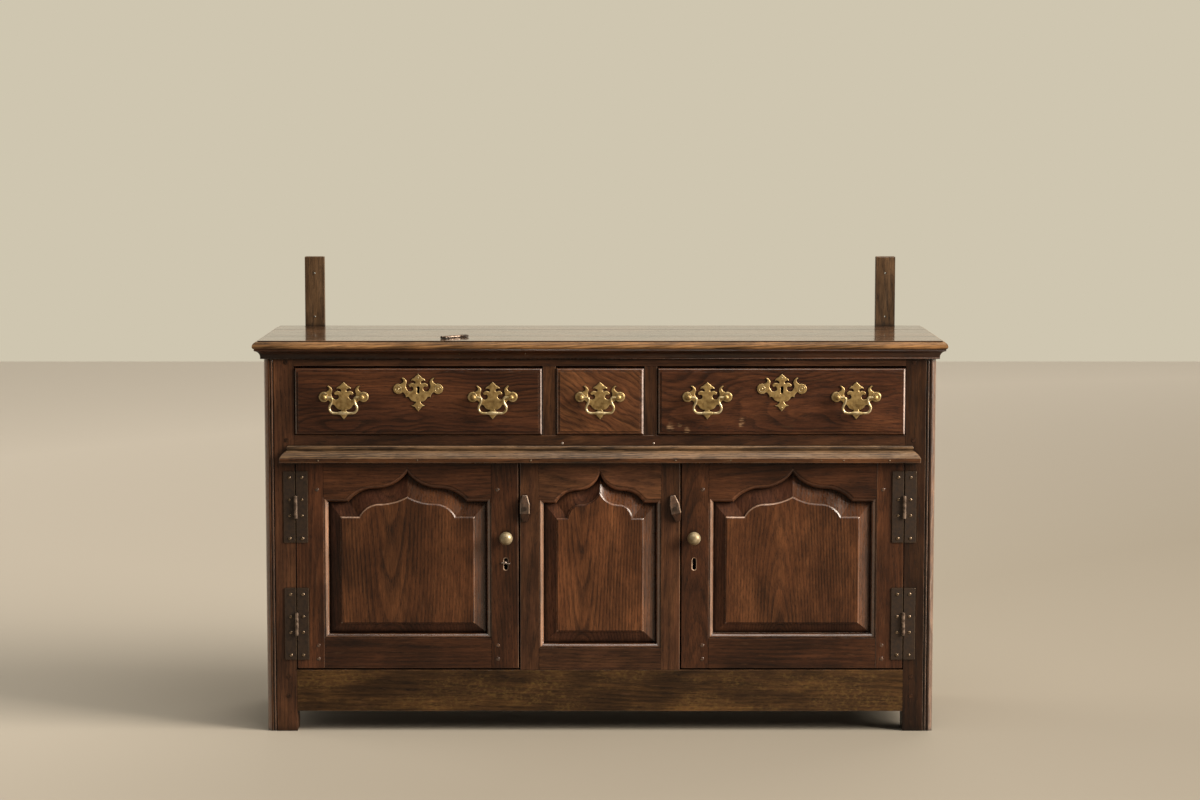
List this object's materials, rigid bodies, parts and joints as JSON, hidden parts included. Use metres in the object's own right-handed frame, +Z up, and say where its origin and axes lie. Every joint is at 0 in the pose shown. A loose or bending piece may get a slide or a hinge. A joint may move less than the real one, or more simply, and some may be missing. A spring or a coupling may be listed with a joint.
{
  "type": "oak dresser base",
  "caption": "Panelled oak dresser base with drawers over arched cupboard doors, brass bail handles, iron hinges and the stumps of a plate rack.",
  "frame": {"origin": "centre of the footprint, on the floor", "axes": "+X to the viewer's right along the front, -Y towards the viewer, +Z up"},
  "size_m": [1.5, 0.459, 1.018],
  "materials": {
    "oak_frame": "dark waxed oak, satin",
    "oak_panel": "dark waxed oak panel, satin",
    "oak_drawer": "dark waxed oak, satin, reddish",
    "oak_top": "worn waxed oak, polished by use",
    "oak_moulding": "worn waxed oak moulding",
    "oak_inside": "dry unfinished oak",
    "brass": "cast brass, dulled in the hollows",
    "iron": "hand-forged iron, brown-black"
  },
  "bodies": {
    "carcase": {"front_stile_left": "oak_frame", "front_stile_right": "oak_frame", "front_top_rail": "oak_frame", "front_middle_rail": "oak_frame", "front_bottom_rail": "oak_frame", "drawer_muntins": "oak_frame", "frame_pegs": "oak_frame", "middle_bay_stiles": "oak_frame", "middle_bay_rails": "oak_frame", "middle_bay_panel": "oak_panel", "side_rails": "oak_frame", "side_panels": "oak_panel", "rear_frame": "oak_frame", "back_boards": "oak_inside", "top_front_board": "oak_top", "top_rear_boards": "oak_top", "cove_moulding": "oak_frame", "waist_moulding": "oak_moulding", "rack_uprights": "oak_frame", "cupboard_floor": "oak_inside", "cupboard_shelf": "oak_inside", "drawer_runners": "oak_inside", "frame_ironwork": "iron"},
    "door_left": {"door_left_stiles": "oak_frame", "door_left_bottom_rail": "oak_frame", "door_left_arched_rail": "oak_frame", "door_left_panel": "oak_panel", "door_left_hinge_leaves": "iron", "door_left_knob": "brass", "door_left_lock": "iron"},
    "door_left_bolt": {"door_left_lock_bolt": "iron"},
    "door_right": {"door_right_stiles": "oak_frame", "door_right_bottom_rail": "oak_frame", "door_right_arched_rail": "oak_frame", "door_right_panel": "oak_panel", "door_right_hinge_leaves": "iron", "door_right_knob": "brass", "door_right_lock": "iron"},
    "door_right_bolt": {"door_right_lock_bolt": "iron"},
    "drawer_left": {"drawer_left_front": "oak_drawer", "drawer_left_box": "oak_inside", "drawer_left_brasses": "brass", "drawer_left_lock": "iron"},
    "drawer_left_bail_a": {"drawer_left_bail_a": "brass"},
    "drawer_left_bail_b": {"drawer_left_bail_b": "brass"},
    "drawer_left_bolt": {"drawer_left_lock_bolt": "iron"},
    "drawer_middle": {"drawer_middle_front": "oak_drawer", "drawer_middle_box": "oak_inside", "drawer_middle_brasses": "brass"},
    "drawer_middle_bail_a": {"drawer_middle_bail_a": "brass"},
    "drawer_right": {"drawer_right_front": "oak_drawer", "drawer_right_box": "oak_inside", "drawer_right_brasses": "brass", "drawer_right_lock": "iron"},
    "drawer_right_bail_a": {"drawer_right_bail_a": "brass"},
    "drawer_right_bail_b": {"drawer_right_bail_b": "brass"},
    "drawer_right_bolt": {"drawer_right_lock_bolt": "iron"},
    "turn_button_left": {"turn_button_left": "oak_frame"},
    "turn_button_right": {"turn_button_right": "oak_frame"},
    "key": {"iron_key": "iron"}
  },
  "joints": [
    {"name": "door_left_hinge", "type": "hinge", "parent": "carcase", "child": "door_left", "pos_m": [-0.661, -0.2031, 0.365], "axis": [0, 0, -1], "range_deg": [0, 165]},
    {"name": "door_left_bolt_slide", "type": "slide", "parent": "door_left", "child": "door_left_bolt", "axis": [1, 0, 0], "range_m": [0, 0.012]},
    {"name": "door_right_hinge", "type": "hinge", "parent": "carcase", "child": "door_right", "pos_m": [0.661, -0.2031, 0.365], "axis": [0, 0, 1], "range_deg": [0, 165]},
    {"name": "door_right_bolt_slide", "type": "slide", "parent": "door_right", "child": "door_right_bolt", "axis": [-1, 0, 0], "range_m": [0, 0.012]},
    {"name": "drawer_left_slide", "type": "slide", "parent": "carcase", "child": "drawer_left", "axis": [0, -1, 0], "range_m": [0, 0.28]},
    {"name": "drawer_left_bail_a_swing", "type": "hinge", "parent": "drawer_left", "child": "drawer_left_bail_a", "pos_m": [-0.554, -0.2205, 0.736], "axis": [-1, 0, 0], "range_deg": [-14, 170]},
    {"name": "drawer_left_bail_b_swing", "type": "hinge", "parent": "drawer_left", "child": "drawer_left_bail_b", "pos_m": [-0.232, -0.2205, 0.736], "axis": [-1, 0, 0], "range_deg": [-14, 170]},
    {"name": "drawer_left_bolt_slide", "type": "slide", "parent": "drawer_left", "child": "drawer_left_bolt", "axis": [0, 0, 1], "range_m": [0, 0.009]},
    {"name": "drawer_middle_slide", "type": "slide", "parent": "carcase", "child": "drawer_middle", "axis": [0, -1, 0], "range_m": [0, 0.28]},
    {"name": "drawer_middle_bail_a_swing", "type": "hinge", "parent": "drawer_middle", "child": "drawer_middle_bail_a", "pos_m": [0, -0.2205, 0.736], "axis": [-1, 0, 0], "range_deg": [-14, 170]},
    {"name": "drawer_right_slide", "type": "slide", "parent": "carcase", "child": "drawer_right", "axis": [0, -1, 0], "range_m": [0, 0.28]},
    {"name": "drawer_right_bail_a_swing", "type": "hinge", "parent": "drawer_right", "child": "drawer_right_bail_a", "pos_m": [0.232, -0.2205, 0.736], "axis": [-1, 0, 0], "range_deg": [-14, 170]},
    {"name": "drawer_right_bail_b_swing", "type": "hinge", "parent": "drawer_right", "child": "drawer_right_bail_b", "pos_m": [0.554, -0.2205, 0.736], "axis": [-1, 0, 0], "range_deg": [-14, 170]},
    {"name": "drawer_right_bolt_slide", "type": "slide", "parent": "drawer_right", "child": "drawer_right_bolt", "axis": [0, 0, 1], "range_m": [0, 0.009]},
    {"name": "turn_button_left_turn", "type": "hinge", "parent": "carcase", "child": "turn_button_left", "pos_m": [-0.1635, -0.2035, 0.492], "axis": [0, -1, 0], "range_deg": [-100, 100]},
    {"name": "turn_button_right_turn", "type": "hinge", "parent": "carcase", "child": "turn_button_right", "pos_m": [0.1635, -0.2035, 0.492], "axis": [0, -1, 0], "range_deg": [-112, 88]},
    {"name": "key_lift", "type": "slide", "parent": "carcase", "child": "key", "axis": [0, 0, 1], "range_m": [0, 0.12]}
  ]
}
